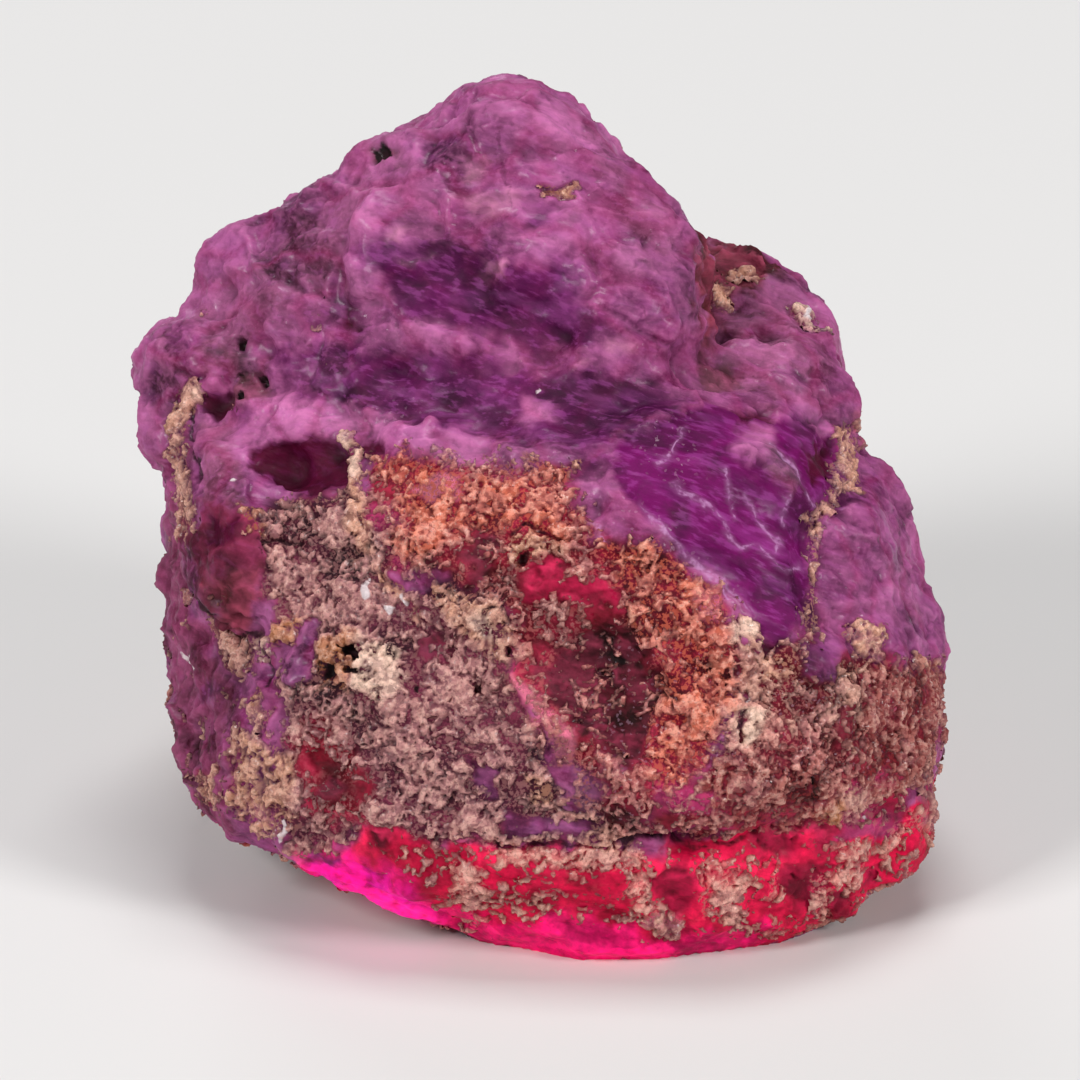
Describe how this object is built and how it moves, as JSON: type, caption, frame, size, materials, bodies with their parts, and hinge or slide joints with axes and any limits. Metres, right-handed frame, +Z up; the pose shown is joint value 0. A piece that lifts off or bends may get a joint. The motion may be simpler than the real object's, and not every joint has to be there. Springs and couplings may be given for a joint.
{
  "type": "raw ruby crystal",
  "caption": "Rough ruby crystal specimen: a frosty violet peak over a crusted red front, resting on a flat parting.",
  "frame": {"origin": "middle of the underside, on the surface that the crystal stands on", "axes": "+Z up, -Y towards the crusted front, +X to the viewer's right"},
  "size_m": [0.0164, 0.0138, 0.0154],
  "materials": {
    "ruby": "rough broken corundum, violet-pink and crimson with tan crust, glassy on the fresh faces"
  },
  "bodies": {
    "root": {"ruby_crystal": "ruby"}
  },
  "joints": []
}
